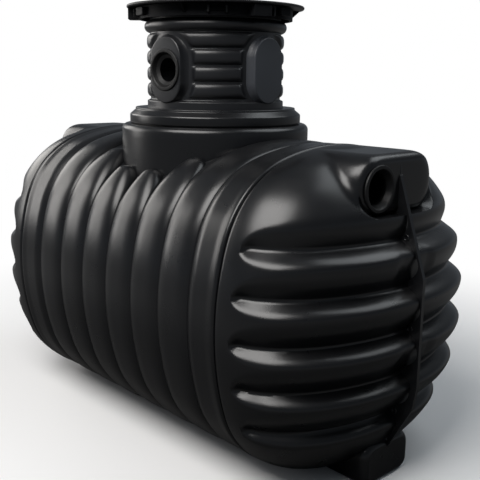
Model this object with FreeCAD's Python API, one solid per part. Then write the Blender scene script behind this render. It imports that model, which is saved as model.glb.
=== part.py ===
import FreeCAD, Part
import math
import os

# Underground water tank: a horizontal blow-moulded body of ribbed rings with two
# grooved end domes, a manhole neck, a bolted-on riser with pipe pads and a cover.
# X runs along the tank, Y across it and Z up. The origin is under the middle, on the ground.

V = FreeCAD.Vector

# Barrel section, measured in the grooves between the ribs
half_width = 541.0
half_height = 554.0
side_radius = 900.0
crown_radius = 900.0
corner_radius = 372.0
wall = 12.0

# Rings along the barrel
rib_pitch = 160.0
ribs_per_side = 3
rib_height = 14.0
end_band_width = 145.0
end_band_shoulder = 18.0

# Domed ends, which start where the lip beyond the end band has risen
dome_length = 372.0
groove_depth = 90.0
dome_power = 2.2
groove_pitch = 150.0
groove_count = 5
groove_middle_drop = 15.0
land_power = 2.2
crown_flat = 6.0
outline_points = 9

# Inlet boss at the top of each end
boss_half_width = 205.0
boss_half_height = 98.0
boss_drop = 91.0
boss_reach = 262.0
boss_root = 74.0
boss_edge_round = 20.0
boss_flat = 0.5
socket_side = 107.0
socket_drop = 9.0

# Foot at the bottom of each end
foot_half_width = 125.0
foot_height = 150.0
foot_corner = 50.0
foot_reach = 272.0
foot_root = 52.0
foot_drop = 4.0

# Seam fin in the middle of each end
fin_thickness = 14.0
fin_proud = 3.0
fin_top_rise = 55.0
fin_slope_rise = 29.0
fin_bottom = 205.0
fin_lean_rise = 26.0
fin_foot_rise = 120.0
fin_hole_radius = 6.0
fin_hole_inset = 26.0

# Pipe sockets with lip seals
pipe_bore_radius = 56.0
seal_radius = 77.0
seal_proud = 6.0
seal_depth = 22.0
seal_sleeve_wall = 7.0

# Manhole neck
neck_radius = 371.0
neck_rise = 56.0
neck_round = 22.0
manhole_radius = 243.0

# Collar that holds the riser on the neck
gasket_thickness = 5.0
gasket_radius = 328.0
collar_radius = 339.0
collar_height = 49.0
collar_step = 22.0
collar_step_height = 8.0

# Riser
riser_height = 431.0
riser_wall = 12.0
riser_rib_height = 14.0
riser_rib_pitch = 61.0
riser_rib_crest = 36.0
riser_rib_flank = 8.0
riser_rib_count = 4
riser_hem_top = 81.5
roll_radius = 23.0
roll_above_ribs = 55.0
riser_turn = 5.6
pad_half_width = 80.0
pad_half_height = 122.0
pad_above_seat = 199.0
pad_face_lift = 20.0
pad_clear = 26.0

# Cover
cover_radius = 345.0
cover_edge = 10.0
cover_rise = 18.0
skirt_radius = 300.0
skirt_wall = 12.0
skirt_drop = 42.0
lug_count = 3
lug_width = 74.0
lug_reach = 38.0
lug_first_angle = 228.8
gusset_angles = (68.2, 129.0)
gusset_thickness = 8.0
gusset_reach = 36.0
gusset_height = 32.0

axis_height = half_height + rib_height + foot_drop
barrel_end = ribs_per_side * rib_pitch + end_band_width
dome_base = barrel_end + end_band_shoulder
boss_middle = half_height - boss_drop
boss_face = dome_base + boss_reach
socket_middle = boss_middle - socket_drop
foot_face = dome_base + foot_reach
seal_sleeve_radius = pipe_bore_radius + seal_sleeve_wall
neck_top = half_height + neck_rise
riser_seat = neck_top + gasket_thickness


def save(node, shape):
    shape.exportStep("parts/" + node + ".step")


def at(x, y, z):
    """A point given by its height over the barrel's axis."""
    return V(x, y, axis_height + z)


def oval_arcs():
    """The eight tangent arcs of the barrel section: centre y, centre z, radius, start, end."""
    side_y = half_width - side_radius
    crown_z = half_height - crown_radius
    to_side = side_radius - corner_radius
    to_crown = crown_radius - corner_radius
    span = math.hypot(side_y, crown_z)
    along = (to_side ** 2 - to_crown ** 2 + span ** 2) / (2 * span)
    off = math.sqrt(to_side ** 2 - along ** 2)
    uy, uz = -side_y / span, crown_z / span
    corner_y = side_y + along * uy - off * uz
    corner_z = along * uz + off * uy
    low = math.atan2(corner_z, corner_y - side_y)
    high = math.atan2(corner_z - crown_z, corner_y)
    turn = math.pi
    return [
        (side_y, 0.0, side_radius, -low, low),
        (corner_y, corner_z, corner_radius, low, high),
        (0.0, crown_z, crown_radius, high, turn - high),
        (-corner_y, corner_z, corner_radius, turn - high, turn - low),
        (-side_y, 0.0, side_radius, turn - low, turn + low),
        (-corner_y, -corner_z, corner_radius, turn + low, turn + high),
        (0.0, -crown_z, crown_radius, turn + high, 2 * turn - high),
        (corner_y, -corner_z, corner_radius, 2 * turn - high, 2 * turn - low),
    ]


OVAL = oval_arcs()


def oval_point(arc, angle, x, offset):
    centre_y, centre_z, radius = arc[:3]
    reach = radius + offset
    return at(x, centre_y + reach * math.cos(angle), centre_z + reach * math.sin(angle))


def oval_wire(x, offset):
    """The barrel section at x, moved outward by offset."""
    edges = []
    for arc in OVAL:
        angles = (arc[3], 0.5 * (arc[3] + arc[4]), arc[4])
        edges.append(Part.Arc(*[oval_point(arc, angle, x, offset) for angle in angles]).toShape())
    return Part.Wire(edges)


def oval_half_width(z, offset):
    """Half the width of the barrel section at height z over the axis."""
    height = abs(z)
    side, corner, crown = OVAL[0], OVAL[1], OVAL[2]
    if height <= (side[2] + offset) * math.sin(side[4]):
        return side[0] + math.sqrt((side[2] + offset) ** 2 - height ** 2)
    if height <= corner[1] + (corner[2] + offset) * math.sin(corner[4]):
        return corner[0] + math.sqrt((corner[2] + offset) ** 2 - (height - corner[1]) ** 2)
    return math.sqrt(max((crown[2] + offset) ** 2 - (height - crown[1]) ** 2, 0.0))


def oval_prism(x_from, x_to, offset):
    face = Part.Face(oval_wire(x_from, offset))
    return face.extrude(V(x_to - x_from, 0, 0))


def turned_ring(edges_of):
    """A ring round the barrel: one profile turned through each arc of the section.

    edges_of gives the closed profile's edges from a function that places (x, height).
    """
    sectors = []
    for arc in OVAL:
        def place(x, height, arc=arc):
            return oval_point(arc, arc[3], x, height)
        face = Part.Face(Part.Wire(edges_of(place)))
        centre = at(0, arc[0], arc[1])
        sectors.append(face.revolve(centre, V(1, 0, 0), math.degrees(arc[4] - arc[3])))
    return sectors[0].multiFuse(sectors[1:]).removeSplitter()


def rib_ring(x_from):
    """One scalloped rib of even wall, a bow between two grooves."""
    x_to = x_from + rib_pitch
    x_mid = x_from + 0.5 * rib_pitch

    def edges(place):
        return [
            Part.Arc(place(x_from, 0), place(x_mid, rib_height), place(x_to, 0)).toShape(),
            Part.makeLine(place(x_to, 0), place(x_to, -wall)),
            Part.makeLine(place(x_to, -wall), place(x_mid, rib_height - wall)),
            Part.makeLine(place(x_mid, rib_height - wall), place(x_from, -wall)),
            Part.makeLine(place(x_from, -wall), place(x_from, 0)),
        ]
    return turned_ring(edges)


def band_ring():
    """The near end band: flat on top with rounded shoulders, a groove and the lip of the dome."""
    x_from = barrel_end - end_band_width
    in_from = x_from + end_band_shoulder
    in_to = barrel_end - end_band_shoulder
    bend = math.sqrt(0.5)
    low = rib_height - wall

    def shoulder(place, x_low, x_high):
        middle = place(x_high + bend * (x_low - x_high), bend * rib_height)
        return Part.Arc(place(x_low, 0), middle, place(x_high, rib_height)).toShape()

    def edges(place):
        return [
            shoulder(place, x_from, in_from),
            Part.makeLine(place(in_from, rib_height), place(in_to, rib_height)),
            shoulder(place, barrel_end, in_to),
            shoulder(place, barrel_end, dome_base),
            Part.makeLine(place(dome_base, rib_height), place(dome_base, low)),
            Part.makeLine(place(dome_base, low), place(barrel_end, -wall)),
            Part.makeLine(place(barrel_end, -wall), place(in_to, low)),
            Part.makeLine(place(in_to, low), place(in_from, low)),
            Part.makeLine(place(in_from, low), place(x_from, -wall)),
            Part.makeLine(place(x_from, -wall), place(x_from, 0)),
        ]
    return turned_ring(edges)


def dome_share(depth, length):
    """How far the dome's section has drawn in at a depth beyond the barrel, from 1 to 0."""
    return (1.0 - (depth / length) ** dome_power) ** (1.0 / dome_power)


def groove_levels():
    middle = 0.5 * (groove_count - 1)
    return [(middle - i) * groove_pitch - groove_middle_drop for i in range(groove_count)]


def end_outline(z, length, offset):
    """The closed outline of the end at height z: a rounded nose and a straight base."""
    width = oval_half_width(z, offset)
    reach = length * dome_share(abs(z), half_height + offset)
    points = []
    for i in range(outline_points):
        turn = math.pi * (i / (outline_points - 1) - 0.5)
        side = math.copysign(abs(math.sin(turn)) ** (2 / dome_power), turn)
        nose = max(math.cos(turn), 0.0) ** (2 / dome_power)
        points.append(at(dome_base + reach * nose, width * side, z))
    points[0].x = dome_base
    points[-1].x = dome_base
    curve = Part.BSplineCurve()
    curve.interpolate(points)
    return Part.Wire([curve.toShape(), Part.makeLine(points[-1], points[0])])


def bulge(place):
    """Share of the full bulge at a place across a land, -1 and 1 at its grooves."""
    return 1.0 - abs(place) ** land_power


def end_loft(heights, shares, inset):
    """A slice of the end lofted through level outlines that bulge from the groove floor by shares.

    The outside is smooth, and the inside, drawn in by inset, runs straight from outline to outline.
    """
    offset = rib_height - inset
    straight = inset > 0
    sections = []
    for z, share in zip(heights, shares):
        length = dome_length - (1.0 - share) * groove_depth - inset
        sections.append(end_outline(z, length, offset))
    return Part.makeLoft(sections, True, straight)


def end_slices(inset):
    """The near end as level slices: a crown, rounded lands between the grooves and a keel."""
    levels = groove_levels()
    half = 0.5 * groove_pitch
    top = half_height + rib_height - inset - crown_flat
    rises = (0.0, 0.35, 0.65, 0.85, 0.95, 1.0)
    shares = [bulge(-1.0), bulge(-0.5)] + [1.0] * len(rises)
    slices = {}
    for name, way, level in (("crown", 1, levels[0]), ("keel", -1, levels[-1])):
        start = level + way * half
        heights = [level, level + way * 0.5 * half] + [start + (way * top - start) * r for r in rises]
        slices[name] = end_loft(heights, shares, inset)
    for i, high in enumerate(levels[:-1]):
        heights = [high - groove_pitch * 0.25 * k for k in range(5)]
        shares = [bulge(0.5 * k - 1.0) for k in range(5)]
        slices["land_%d" % (i + 1)] = end_loft(heights, shares, inset)
    return slices


def joined(slices):
    pieces = list(slices.values())
    return pieces[0].multiFuse(pieces[1:]).removeSplitter()


def rounded_prism(x_from, x_to, half_y, z_low, z_high, radius):
    """A bar along X whose section is a rectangle with rounded corners."""
    bar = Part.makeBox(x_to - x_from, 2 * half_y, z_high - z_low, at(x_from, -half_y, z_low))
    along = [e for e in bar.Edges if abs(e.tangentAt(e.FirstParameter).x) > 0.5]
    return bar.makeFillet(radius, along)


def boss_bar(inset, x_from, x_to):
    """A stretch of the inlet boss's obround bar, which lies along X, with square ends."""
    half_z = boss_half_height - inset
    return rounded_prism(x_from, x_to, boss_half_width - inset, boss_middle - half_z,
                         boss_middle + half_z, half_z - boss_flat)


def boss_solid():
    """The boss filled in, with its front edge rounded."""
    bar = boss_bar(0.0, dome_base + boss_root, boss_face)
    front = [e for e in bar.Edges if e.BoundBox.XMin > boss_face - 0.5 * boss_edge_round]
    return bar.makeFillet(boss_edge_round, front)


def foot_prism(inset):
    return rounded_prism(dome_base + foot_root, foot_face - inset, foot_half_width - inset,
                         inset - axis_height, foot_height - inset - axis_height, foot_corner - inset)


def tube_along_x(x_from, x_to, radius, y, z):
    return Part.makeCylinder(radius, x_to - x_from, at(x_from, y, z), V(1, 0, 0))


def seam_fin(ends):
    """The thin web of the mould seam, bridging the grooves from the boss to the foot."""
    nose = dome_base + dome_length + fin_proud
    fin_top = boss_middle + fin_top_rise
    lean = groove_levels()[-1] + fin_lean_rise
    foot_top = fin_foot_rise - axis_height
    corners = [
        at(boss_face - boss_edge_round, 0, fin_top),
        at(boss_face + fin_proud, 0, fin_top - 2 * fin_thickness),
        at(nose, 0, groove_levels()[1] + fin_slope_rise),
        at(nose, 0, -fin_bottom),
        at(nose - fin_thickness, 0, lean),
        at(foot_face, 0, foot_top),
        at(dome_base + foot_root, 0, foot_top),
        at(dome_base + boss_root, 0, fin_top),
    ]
    web = Part.Face(Part.makePolygon(corners + corners[:1]))
    web.translate(V(0, -0.5 * fin_thickness, 0))
    fin = web.extrude(V(0, fin_thickness, 0))
    for level in groove_levels()[::2]:
        floor = dome_base + (dome_length - groove_depth) * dome_share(abs(level), half_height + rib_height)
        hole = Part.makeCylinder(fin_hole_radius, 2 * fin_thickness,
                                 at(floor + fin_hole_inset, -fin_thickness, level + fin_hole_radius),
                                 V(0, 1, 0))
        fin = fin.cut(hole)
    return fin.cut(ends).cut(boss_solid()).cut(foot_prism(0.0))


def lip_seal(depth):
    """A pipe seal standing on z = 0: a lipped ring that grips the pipe and a sleeve behind it."""
    lip = 0.5 * seal_proud
    corners = [
        V(pipe_bore_radius, 0, -depth),
        V(seal_sleeve_radius, 0, -depth),
        V(seal_sleeve_radius, 0, 0),
        V(seal_radius, 0, 0),
        V(seal_radius, 0, lip),
        V(seal_radius - lip, 0, seal_proud),
        V(pipe_bore_radius, 0, seal_proud),
    ]
    profile = Part.Face(Part.makePolygon(corners + corners[:1]))
    return profile.revolve(V(0, 0, 0), V(0, 0, 1), 360)


def placed_along(shape, direction, point):
    """A copy of a shape made on the z axis, turned to face a direction and moved to a point."""
    copy = shape.copy()
    copy.Placement = FreeCAD.Placement(point, FreeCAD.Rotation(V(0, 0, 1), direction))
    return copy


def build_ends():
    outer_slices = end_slices(0.0)
    inner_slices = end_slices(wall)
    inner = joined(inner_slices)
    boss = boss_solid()
    nose = dome_base + dome_length
    boss_room = boss_bar(0.0, dome_base + boss_root, nose)
    front = boss_bar(-wall, boss_face - wall, nose)
    ledge = front.common(outer_slices["crown"])
    foot = foot_prism(0.0)
    pieces = {}
    for name, solid in outer_slices.items():
        pieces["end_" + name] = solid.cut(inner_slices[name])
    pieces["end_crown"] = pieces["end_crown"].fuse(ledge).cut(boss_room).removeSplitter()
    pieces["end_keel"] = pieces["end_keel"].cut(foot)
    boss_hollow = boss_bar(wall, dome_base + boss_root, boss_face - wall)
    socket = tube_along_x(boss_face - 2 * wall, boss_face + wall, seal_sleeve_radius,
                          -socket_side, socket_middle)
    pieces["inlet_boss"] = boss.cut(boss_hollow).cut(inner.cut(front)).cut(socket)
    pieces["foot"] = foot.cut(foot_prism(wall)).cut(inner)
    pieces["seam_fin"] = seam_fin(joined(outer_slices).cut(boss_room))
    pieces["inlet_seal"] = placed_along(lip_seal(wall + seal_depth), V(1, 0, 0),
                                        at(boss_face, -socket_side, socket_middle))
    for name, piece in pieces.items():
        save("near_" + name, piece)
        save("far_" + name, piece.rotated(V(0, 0, 0), V(0, 0, 1), 180))


def build_barrel():
    manhole = Part.makeCylinder(neck_radius, 2 * half_height, at(0, 0, 0))
    for i in range(2 * ribs_per_side):
        ring = rib_ring((i - ribs_per_side) * rib_pitch)
        save("barrel_rib_%d" % (i + 1), ring.cut(manhole))
    band = band_ring().cut(manhole)
    save("near_end_band", band)
    save("far_end_band", band.rotated(V(0, 0, 0), V(0, 0, 1), 180))


def revolved(corners):
    """A turned piece about the manhole's axis from (radius, height) corners."""
    points = [at(r, 0, z) for r, z in corners]
    face = Part.Face(Part.makePolygon(points + points[:1]))
    return face.revolve(at(0, 0, 0), V(0, 0, 1), 360)


def build_neck():
    inner = neck_radius - wall
    wall_tube = revolved([
        (inner, 0), (neck_radius, 0), (neck_radius, neck_top), (manhole_radius, neck_top),
        (manhole_radius, neck_top - wall), (inner, neck_top - wall)])
    rim = [e for e in wall_tube.Edges
           if abs(e.BoundBox.ZMin - axis_height - neck_top) < 0.1 and e.BoundBox.XMax > neck_radius - 1]
    wall_tube = wall_tube.makeFillet(neck_round, rim)
    reach = neck_radius + rib_pitch
    hollow = oval_prism(-reach, reach, -wall)
    save("neck", wall_tube.cut(hollow))

    gasket = revolved([(manhole_radius, neck_top), (gasket_radius, neck_top),
                       (gasket_radius, riser_seat), (manhole_radius, riser_seat)])
    save("neck_gasket", gasket)

    bore = manhole_radius + riser_wall
    tier = riser_seat + collar_height
    collar = revolved([
        (bore, riser_seat), (collar_radius, riser_seat), (collar_radius, tier),
        (collar_radius - collar_step, tier), (collar_radius - collar_step, tier + collar_step_height),
        (bore, tier + collar_step_height)])
    save("collar_ring", collar)


def pad_prism(direction, half_wide, half_tall, reach):
    """An upright obround bar that stands out from the riser's axis."""
    across = V(0, 0, 1).cross(direction)
    straight = half_tall - half_wide
    up = V(0, 0, straight)
    wide = across * half_wide
    middle = at(0, 0, riser_seat + pad_above_seat)
    top, low = middle + up, middle - up
    crest = V(0, 0, half_wide)
    edges = [
        Part.makeLine(low + wide, top + wide),
        Part.Arc(top + wide, top + crest, top - wide).toShape(),
        Part.makeLine(top - wide, low - wide),
        Part.Arc(low - wide, low - crest, low + wide).toShape(),
    ]
    return Part.Face(Part.Wire(edges)).extrude(direction * reach)


def build_riser():
    base = manhole_radius + riser_wall
    crest = base + riser_rib_height
    hem_low = riser_seat + collar_height + collar_step_height
    hem_top = riser_seat + riser_hem_top
    half = 0.5 * riser_rib_crest
    profile = [(manhole_radius, riser_seat), (base, riser_seat), (base, hem_low), (crest, hem_low),
               (crest, hem_top), (base, hem_top + riser_rib_flank)]
    top_rib = hem_top - half + riser_rib_count * riser_rib_pitch
    for i in range(riser_rib_count):
        middle = top_rib - (riser_rib_count - 1 - i) * riser_rib_pitch
        profile.append((base, middle - half - riser_rib_flank))
        profile.append((crest, middle - half))
        profile.append((crest, middle + half))
        profile.append((base, middle + half + riser_rib_flank))
    profile.append((base, riser_seat + riser_height))
    profile.append((manhole_radius, riser_seat + riser_height))
    tube = revolved(profile)
    roll_z = top_rib + roll_above_ribs
    roll = Part.makeTorus(base, roll_radius, at(0, 0, roll_z))
    core = Part.makeCylinder(base, 2 * riser_height, at(0, 0, riser_seat))
    tube = tube.fuse(roll.cut(core)).removeSplitter()
    directions = {}
    for i, name in enumerate(("near", "back", "far", "front")):
        angle = math.radians(riser_turn + 90 * i)
        directions[name] = V(math.cos(angle), math.sin(angle), 0)
    front = directions["front"]
    face = base + pad_face_lift
    hole_z = riser_seat + pad_above_seat
    throat = Part.makeCylinder(seal_sleeve_radius, 2 * base, at(0, 0, hole_z), front)
    for name, direction in directions.items():
        room = pad_prism(direction, pad_half_width + pad_clear, pad_half_height + pad_clear, 2 * base)
        tube = tube.cut(room.cut(core))
        pad = pad_prism(direction, pad_half_width, pad_half_height, face).cut(core)
        if name == "front":
            pad = pad.cut(throat)
        save("riser_pad_" + name, pad)
    save("riser", tube.cut(throat))
    seal = placed_along(lip_seal(riser_wall + seal_depth), front, at(0, 0, hole_z) + front * face)
    save("riser_pipe_seal", seal)


def build_cover():
    rest = riser_seat + riser_height
    edge_top = rest + cover_edge
    disc = revolved([(0, rest), (cover_radius, rest), (cover_radius, edge_top), (0, edge_top)])
    crown = cover_radius ** 2 / (2 * cover_rise) + 0.5 * cover_rise
    ball = Part.makeSphere(crown, at(0, 0, edge_top + cover_rise - crown))
    cap_box = Part.makeCylinder(cover_radius, 2 * cover_rise, at(0, 0, edge_top))
    save("cover_disc", disc.fuse(ball.common(cap_box)).removeSplitter())
    low = rest - skirt_drop
    skirt = revolved([(skirt_radius - skirt_wall, low), (skirt_radius, low),
                      (skirt_radius, rest), (skirt_radius - skirt_wall, rest)])
    foot_in = skirt_radius - 0.5 * skirt_wall
    web = Part.Face(Part.makePolygon([
        at(foot_in, 0, rest - gusset_height), at(skirt_radius, 0, rest - gusset_height),
        at(skirt_radius + gusset_reach, 0, rest), at(foot_in, 0, rest),
        at(foot_in, 0, rest - gusset_height)]))
    web.translate(V(0, -0.5 * gusset_thickness, 0))
    gusset = web.extrude(V(0, gusset_thickness, 0))
    third = 360.0 / lug_count
    turns = [lug_first_angle + i * third + angle for i in range(lug_count) for angle in gusset_angles]
    gussets = [gusset.rotated(V(0, 0, 0), V(0, 0, 1), turn) for turn in turns]
    save("cover_skirt", skirt.multiFuse(gussets).removeSplitter())
    drum = Part.makeCylinder(skirt_radius, 2 * skirt_drop, at(0, 0, low - skirt_drop))
    lugs = []
    for i in range(lug_count):
        lug = Part.makeBox(skirt_radius + lug_reach, lug_width, skirt_drop,
                           at(0, -0.5 * lug_width, low)).cut(drum)
        lug.rotate(V(0, 0, 0), V(0, 0, 1), lug_first_angle + i * third)
        lugs.append(lug)
    save("cover_lock_lugs", Part.makeCompound(lugs))


os.makedirs("parts", exist_ok=True)
build_barrel()
build_ends()
build_neck()
build_riser()
build_cover()
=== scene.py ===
import math

import bpy
import numpy as np
from mathutils import Matrix, Vector


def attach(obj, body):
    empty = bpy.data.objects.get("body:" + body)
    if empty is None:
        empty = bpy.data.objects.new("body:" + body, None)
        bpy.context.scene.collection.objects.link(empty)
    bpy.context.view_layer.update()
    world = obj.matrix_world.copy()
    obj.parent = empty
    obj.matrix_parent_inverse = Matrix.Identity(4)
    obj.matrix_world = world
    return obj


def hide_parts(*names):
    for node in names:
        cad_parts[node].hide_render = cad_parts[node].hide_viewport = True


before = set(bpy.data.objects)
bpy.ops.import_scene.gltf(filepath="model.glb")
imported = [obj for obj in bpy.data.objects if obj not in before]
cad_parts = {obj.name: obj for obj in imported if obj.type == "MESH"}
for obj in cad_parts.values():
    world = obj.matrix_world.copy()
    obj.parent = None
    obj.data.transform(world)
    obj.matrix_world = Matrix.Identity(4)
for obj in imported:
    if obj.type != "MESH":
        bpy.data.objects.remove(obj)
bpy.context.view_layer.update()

bl_info = {
    "name": "Underground water tank",
    "version": (1, 0, 0),
    "blender": (4, 5, 0),
    "location": "View3D > Sidebar > Tank",
    "description": "Builds a ribbed plastic tank with grooved ends, a riser and a cover",
    "category": "Object",
}

ENDS = {"near": 1.0, "far": -1.0}
PAD_TURNS = {"near": 0.0, "back": 90.0, "far": 180.0, "front": 270.0}
RIBS = 6
RIB_NODES = ["barrel_rib_%d" % (i + 1) for i in range(RIBS)] + ["near_end_band", "far_end_band"]
END_NODES = ["end_crown", "end_land_1", "end_land_2", "end_land_3", "end_land_4", "end_keel", "inlet_boss"]


def length(name, default, description):
    """A size in metres that the panel shows in scene units."""
    return bpy.props.FloatProperty(name=name, description=description, default=default,
                                   unit="LENGTH", precision=4)


def colour(name, default, description):
    """A linear colour that the panel shows as a swatch."""
    return bpy.props.FloatVectorProperty(name=name, description=description, default=default,
                                         size=3, min=0.0, max=1.0, subtype="COLOR")


def factor(name, default, description):
    """A plain number from nought to one."""
    return bpy.props.FloatProperty(name=name, description=description, default=default,
                                   min=0.0, max=1.0, subtype="FACTOR")


class TankBodySizes(bpy.types.PropertyGroup):
    """Sizes of the ribbed barrel, its oval section and the neck on it"""

    axis_height: length("Axis height", 0.572, "Height of the barrel's axis over the floor")
    half_width: length("Half width", 0.541, "From the axis to the groove line at the side")
    half_height: length("Half height", 0.554, "From the axis to the groove line at the top")
    side_radius: length("Side radius", 0.900, "Radius of the section's left and right arcs")
    crown_radius: length("Crown radius", 0.900, "Radius of the section's top and bottom arcs")
    corner_radius: length("Corner radius", 0.372, "Radius of the section's four corner arcs")
    wall: length("Wall", 0.012, "Thickness of the moulded wall")
    rib_pitch: length("Rib pitch", 0.160, "Distance between two grooves of the barrel")
    rib_height: length("Rib height", 0.014, "Rise of a rib over the groove line")
    rib_nose: length("Rib nose", 0.150, "Length over which a rib draws in towards the neck")
    finger_share: factor("Finger share", 0.22, "Share of a rib's width that is left at the neck")
    finger_round: length("Finger round", 0.030, "Length over which a rib's end drops at the neck")
    neck_sink: length("Neck sink", 0.034, "How far the floor between the ribs sinks beside the neck")
    band_start: length("Band start", 0.480, "Where the wide end band begins, from the middle")
    band_end: length("Band end", 0.625, "Where the wide end band ends, from the middle")
    dome_base: length("Dome base", 0.643, "Where the domed end begins, from the middle")
    neck_radius: length("Neck radius", 0.371, "Outer radius of the neck")
    neck_top: length("Neck top", 0.610, "Height of the neck's top over the axis")
    neck_round: length("Neck round", 0.022, "Radius of the neck's shoulder")
    manhole_radius: length("Manhole radius", 0.243, "Radius of the opening in the neck")
    gasket_radius: length("Gasket radius", 0.328, "Outer radius of the gasket under the collar")
    gasket_thickness: length("Gasket thickness", 0.005, "Thickness of that gasket")
    collar_radius: length("Collar radius", 0.339, "Outer radius of the collar ring")
    collar_height: length("Collar height", 0.049, "Height of the collar's lower tier")
    collar_fall: length("Collar fall", 0.018, "How far the top of the collar's lower tier falls to its edge")
    collar_step: length("Collar step", 0.022, "How far the collar's upper tier stands back")
    collar_step_height: length("Collar step height", 0.008, "Height of the collar's upper tier")


class TankEndSizes(bpy.types.PropertyGroup):
    """Sizes of the grooved domed ends, their inlet bosses and their feet"""

    dome_length: length("Dome length", 0.372, "How far the end stands out at its middle")
    groove_depth: length("Groove depth", 0.052, "Depth of a groove at the seam")
    tip_depth: length("Tip depth", 0.026, "Depth that a groove gains at its rounded tip")
    groove_pitch: length("Groove pitch", 0.150, "Distance between two grooves of an end")
    groove_drop: length("Groove drop", 0.015, "How far the middle groove lies under the axis")
    tip_start: length("Tip start", 0.052, "Where the grooves begin, from the dome's base")
    tip_length: length("Tip length", 0.150, "Length of a groove's rounded tip")
    groove_over: factor("Groove above", 0.46, "Reach of a groove above its floor, as a share of the pitch")
    groove_under: factor("Groove below", 0.29, "Reach of a groove below its floor, as a share of the pitch")
    arch_rise: length("Arch rise", 0.024, "How far two of the grooves reach up beside the seam")
    arch_half_width: length("Arch half width", 0.115, "Half width of those arches")
    boss_half_width: length("Boss half width", 0.205, "Half of the inlet boss across")
    boss_half_height: length("Boss half height", 0.098, "Half of the inlet boss upright")
    boss_middle: length("Boss middle", 0.463, "Height of the boss's middle over the axis")
    boss_reach: length("Boss reach", 0.262, "How far the boss's face stands from the dome's base")
    boss_fillet: length("Boss fillet", 0.038, "Softness of the line where boss and dome meet")
    socket_side: length("Socket side", 0.107, "How far the pipe socket lies off the seam")
    socket_drop: length("Socket drop", 0.009, "How far the pipe socket lies under the boss's middle")
    boss_edge: length("Boss edge", 0.030, "Radius of the edge round the boss's face")
    foot_half_width: length("Foot half width", 0.125, "Half of the foot across")
    foot_height: length("Foot height", 0.150, "Height of the foot")
    foot_corner: length("Foot corner", 0.050, "Corner radius of the foot's face")
    foot_reach: length("Foot reach", 0.272, "How far the foot stands from the dome's base")
    foot_root: length("Foot root", 0.052, "Where the foot begins, from the dome's base")
    crest_rise: length("Crest rise", 0.070, "How far the seam's ridge climbs over the boss's middle")
    eyelet_radius: length("Eyelet radius", 0.0085, "Radius of the rings round the fin's holes")
    bore_radius: length("Bore radius", 0.056, "Radius of the hole in a pipe seal")
    riser_lip: length("Riser lip radius", 0.043, "Radius of the inner lip of the riser's seal")
    seal_radius: length("Seal radius", 0.077, "Outer radius of a pipe seal's ring")
    seal_proud: length("Seal proud", 0.006, "How far a pipe seal stands out of its face")
    seal_depth: length("Seal depth", 0.034, "How far a pipe seal's sleeve goes in")
    sleeve_radius: length("Sleeve radius", 0.063, "Outer radius of a pipe seal's sleeve")


class TankRiserSizes(bpy.types.PropertyGroup):
    """Sizes of the riser, its pads and the cover"""

    riser_height: length("Riser height", 0.431, "Height of the riser over the gasket")
    riser_wall: length("Riser wall", 0.012, "Wall of the riser")
    rib_height: length("Riser rib height", 0.014, "Rise of the riser's flat ribs")
    rib_pitch: length("Riser rib pitch", 0.061, "Distance between two ribs of the riser")
    rib_crest: length("Riser rib crest", 0.036, "Height of a riser rib's flat face")
    rib_flank: length("Riser rib flank", 0.009, "Slope at the edges of a riser rib")
    hem_top: length("Hem top", 0.0815, "Top of the lowest band over the gasket")
    roll_radius: length("Roll radius", 0.023, "Radius of the rolled bead under the cover")
    roll_above_ribs: length("Roll above ribs", 0.055, "From the top rib to the bead")
    turn: bpy.props.FloatProperty(name="Riser turn", description="How far the riser is turned on the neck",
                                  default=math.radians(5.6), subtype="ANGLE")
    pad_half_width: length("Pad half width", 0.080, "Half of a pad across")
    pad_half_height: length("Pad half height", 0.122, "Half of a pad upright")
    pad_above_seat: length("Pad above seat", 0.199, "Height of the pads' middle over the gasket")
    pad_face_lift: length("Pad face lift", 0.020, "How far a pad's face stands over the riser's wall")
    pad_clear: length("Pad clear", 0.018, "Bare strip between a pad and the ribs' ends")
    cover_radius: length("Cover radius", 0.345, "Radius of the cover's disc")
    skirt_radius: length("Skirt radius", 0.300, "Outer radius of the skirt under the cover")
    cover_edge: length("Cover edge", 0.010, "Thickness of the disc at its rim")
    cover_rise: length("Cover rise", 0.018, "How far the disc's middle stands over its rim")


class TankFinish(bpy.types.PropertyGroup):
    """Colours and roughness of the plastics and the seals, and the floor's paleness"""

    body_colour: colour("Body colour", (0.0038, 0.0041, 0.0050), "Black plastic of the tank")
    riser_colour: colour("Riser colour", (0.0075, 0.0080, 0.0096), "Black plastic of the riser")
    cover_colour: colour("Cover colour", (0.0040, 0.0042, 0.0048), "Black plastic of the cover")
    # Painted light: the blank pads are painted far paler than the riser's plastic, for the light that the
    # near pad catches.
    blank_colour_painted_light: colour("Blank pad colour", (0.0380, 0.0420, 0.0500), "Dull plastic of the blank pads")
    seal_colour: colour("Seal colour", (0.0040, 0.0040, 0.0042), "Rubber of seals and gasket")
    dust_colour: colour("Dust colour", (0.105, 0.100, 0.092), "Pale dust that settles on level faces")
    floor_colour: colour("Floor colour", (0.86, 0.86, 0.86), "Pale floor under the tank")
    floor_bounce: factor("Floor in reflections", 0.10, "How pale the floor is to all rays but the camera's")
    backdrop_gloss: factor("Backdrop in reflections", 0.15, "Share of the white backdrop in reflections")
    body_roughness: factor("Body roughness", 0.29, "Roughness of the tank's plastic")
    riser_roughness: factor("Riser roughness", 0.35, "Roughness of the riser's plastic")
    cover_roughness: factor("Cover roughness", 0.44, "Roughness of the cover's plastic")
    skirt_roughness: factor("Skirt roughness", 0.52, "Roughness of the plastic under the cover's rim")
    blank_roughness: factor("Blank pad roughness", 0.45, "Roughness of the blank pads' plastic")
    seal_roughness: factor("Seal roughness", 0.48, "Roughness of the seals' rubber")


# Grids and meshes

def smooth(value):
    """An even step from nought to one: 3 t squared less 2 t cubed."""
    value = np.clip(value, 0.0, 1.0)
    return value * value * (3.0 - 2.0 * value)


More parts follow.
